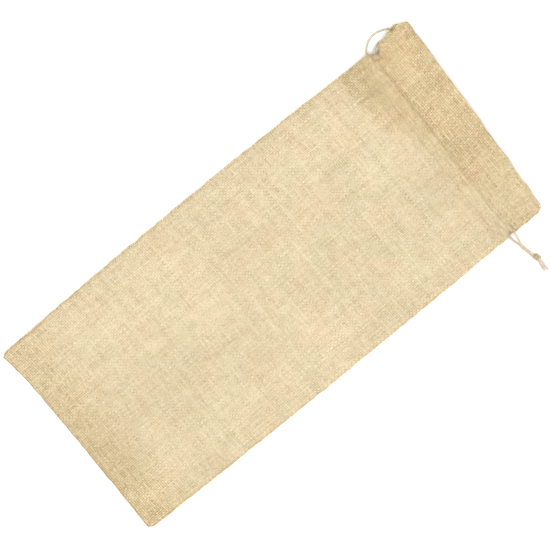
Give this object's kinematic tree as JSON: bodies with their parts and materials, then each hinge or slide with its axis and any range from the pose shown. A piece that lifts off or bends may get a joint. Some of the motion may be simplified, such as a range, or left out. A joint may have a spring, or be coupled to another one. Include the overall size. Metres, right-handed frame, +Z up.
{
  "type": "drawstring wine gift bag",
  "caption": "Flat empty drawstring wine gift bag of coarse burlap, with a hemmed mouth, a casing, and a cord knotted at one side and looped at the other.",
  "frame": {"origin": "on the surface the bag lies on, under the middle of the flat bag without its free cord", "axes": "+X across the bag towards the knot, +Y along it towards the mouth, +Z up from the surface it lies on"},
  "size_m": [0.2027, 0.3628, 0.0134],
  "materials": {
    "cloth": "coarse plain-woven burlap, matt with a faint fibre sheen",
    "thread": "matt sewing thread",
    "cord": "matt twisted cord"
  },
  "bodies": {
    "back": {"back_panel": "cloth", "back_casing_upper_stitch": "thread", "back_casing_lower_stitch": "thread", "bottom_seam": "thread", "side_seam_left": "thread", "side_seam_right": "thread", "heading_seam_left": "thread", "heading_seam_right": "thread", "loop": "cord"},
    "front": {"front_panel": "cloth", "front_casing_upper_stitch": "thread", "front_casing_lower_stitch": "thread"},
    "front_cord": {"front_run": "cord"},
    "drawstring": {"back_run": "cord", "strand_front": "cord", "strand_back": "cord", "knot": "cord", "tail_front": "cord", "tail_back": "cord"}
  },
  "joints": [
    {"name": "mouth_open", "type": "hinge", "parent": "back", "child": "front", "pos_m": [0, -0.1815, 0.0012], "axis": [1, 0, 0], "range_deg": [0, 6]},
    {"name": "drawstring_pull", "type": "slide", "parent": "back", "child": "drawstring", "axis": [1, 0, 0], "range_m": [0, 0.019], "deforming": ["loop", "back_run"]},
    {"name": "front_run_slide", "type": "slide", "parent": "front", "child": "front_cord", "axis": [1, 0, 0], "range_m": [0, 0.019], "deforming": ["front_run"]}
  ],
  "couplings": [
    {"joint": "front_run_slide", "follows": "drawstring_pull", "ratio": 1}
  ]
}
